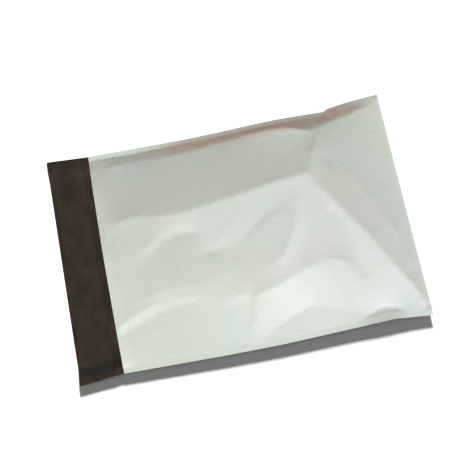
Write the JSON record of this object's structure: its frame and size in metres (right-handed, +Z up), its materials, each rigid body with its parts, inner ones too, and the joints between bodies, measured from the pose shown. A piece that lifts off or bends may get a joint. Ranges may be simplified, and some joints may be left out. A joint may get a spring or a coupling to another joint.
{
  "type": "poly mailer bag",
  "caption": "White film mailer lying flat with an open mouth, a creased pillow front and a dark lip with a peel-off adhesive strip.",
  "frame": {"origin": "middle of the bag's outline, on the surface that the rear panel lies on", "axes": "+X from the mouth to the folded end, +Y across the bag, +Z up out of the front panel"},
  "size_m": [0.378, 0.254, 0.0266],
  "materials": {
    "film": "satin white co-extruded film, dark on its inner face",
    "adhesive": "tacky hot-melt strip",
    "liner": "dark smooth release film"
  },
  "bodies": {
    "root": {"mailer_film": "film", "adhesive_strip": "adhesive", "release_liner": "liner"}
  },
  "joints": []
}
